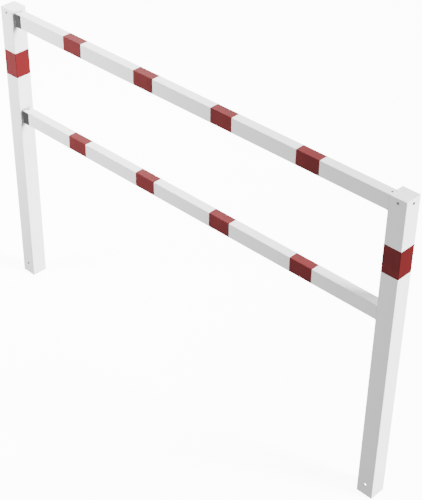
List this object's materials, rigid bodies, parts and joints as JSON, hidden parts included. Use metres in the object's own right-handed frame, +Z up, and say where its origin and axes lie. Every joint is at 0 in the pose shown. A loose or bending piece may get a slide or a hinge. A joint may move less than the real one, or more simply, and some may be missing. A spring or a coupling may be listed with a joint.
{
  "type": "type three barricade",
  "caption": "White tubular steel road barrier: square posts, horizontal rails on lap hinges, red reflective bands.",
  "frame": {"origin": "bottom centre of the bounding box, on the ground midway between the posts", "axes": "+X along the rails from the hinge post to the end post, +Y from the front to the back, +Z up"},
  "size_m": [2.0044, 0.0744, 1.302],
  "materials": {
    "white_paint": "smooth white powder coat over galvanised steel",
    "white_cap": "white powder coat",
    "red_film": "red reflective film, satin",
    "grey_bracket": "dark grey coating, satin",
    "dark_screws": "black oxide steel",
    "painted_bolt": "white coated steel",
    "zinc_steel": "zinc plated",
    "bush_polymer": "plain bearing polymer"
  },
  "bodies": {
    "hinge_post_side": {"hinge_post": "white_paint", "hinge_post_cap": "white_cap", "hinge_post_cap_screws": "dark_screws", "hinge_post_band": "red_film", "upper_hinge_plate": "grey_bracket", "upper_hinge_backing_plate": "zinc_steel", "upper_hinge_plate_screws": "zinc_steel", "upper_hinge_web": "grey_bracket", "upper_hinge_block": "grey_bracket", "upper_hinge_bushes": "bush_polymer", "lower_hinge_plate": "grey_bracket", "lower_hinge_backing_plate": "zinc_steel", "lower_hinge_plate_screws": "zinc_steel", "lower_hinge_web": "grey_bracket", "lower_hinge_block": "grey_bracket", "lower_hinge_bushes": "bush_polymer"},
    "panel": {"end_post": "white_paint", "end_post_cap": "white_cap", "end_post_cap_screws": "dark_screws", "end_post_band": "red_film", "upper_rail": "white_paint", "upper_rail_closure": "zinc_steel", "upper_rail_band_1": "red_film", "upper_rail_band_2": "red_film", "upper_rail_band_3": "red_film", "upper_rail_band_4": "red_film", "upper_hinge_bolt": "painted_bolt", "upper_hinge_washer": "zinc_steel", "upper_hinge_nut": "zinc_steel", "lower_rail": "white_paint", "lower_rail_closure": "zinc_steel", "lower_rail_band_1": "red_film", "lower_rail_band_2": "red_film", "lower_rail_band_3": "red_film", "lower_rail_band_4": "red_film", "lower_hinge_bolt": "painted_bolt", "lower_hinge_washer": "zinc_steel", "lower_hinge_nut": "zinc_steel"}
  },
  "joints": [
    {"name": "panel_swing", "type": "hinge", "parent": "hinge_post_side", "child": "panel", "pos_m": [-0.898, -0.015, 0.86], "axis": [0, 0, 1], "range_deg": [-90, 90]}
  ]
}
